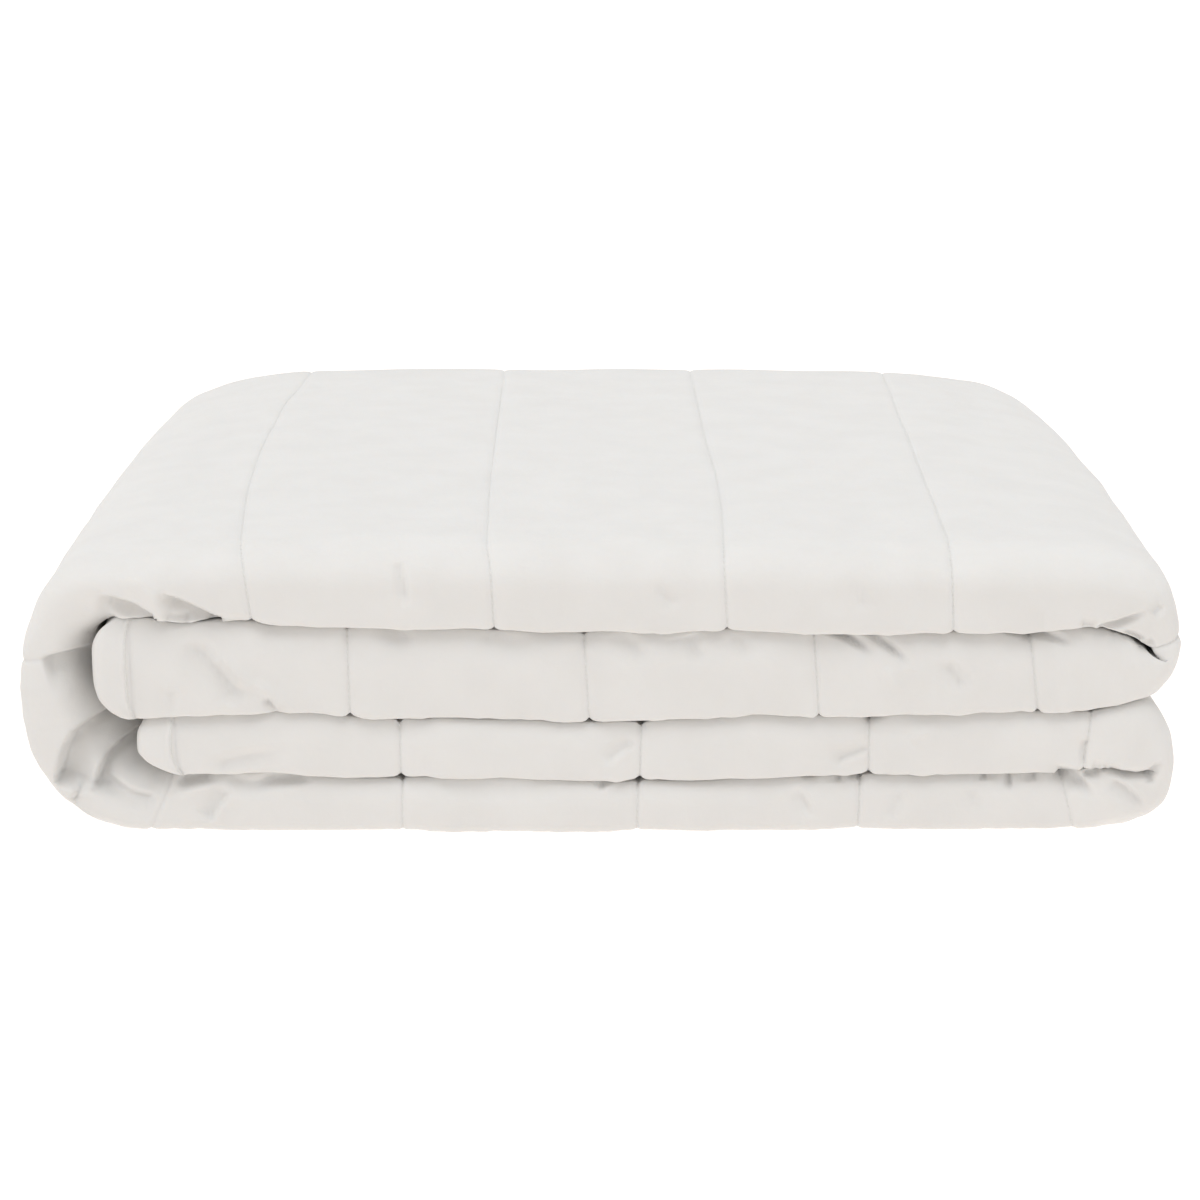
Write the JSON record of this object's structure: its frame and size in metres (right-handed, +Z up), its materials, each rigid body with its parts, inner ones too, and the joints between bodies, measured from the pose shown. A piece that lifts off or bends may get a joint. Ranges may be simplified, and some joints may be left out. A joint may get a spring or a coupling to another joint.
{
  "type": "folded weighted blanket",
  "caption": "Quilted weighted blanket folded in a four-band stack, with rounded folds in front and its hemmed ends inside the left bend.",
  "frame": {"origin": "middle of the flat underside of the folded stack", "axes": "+Z up; -Y towards the rounded folds in front; -X towards the big bend that holds the hemmed ends"},
  "size_m": [0.4999, 0.4668, 0.1265],
  "materials": {
    "quilted_cotton": "matt off-white cotton"
  },
  "bodies": {
    "root": {"blanket": "quilted_cotton"}
  },
  "joints": []
}
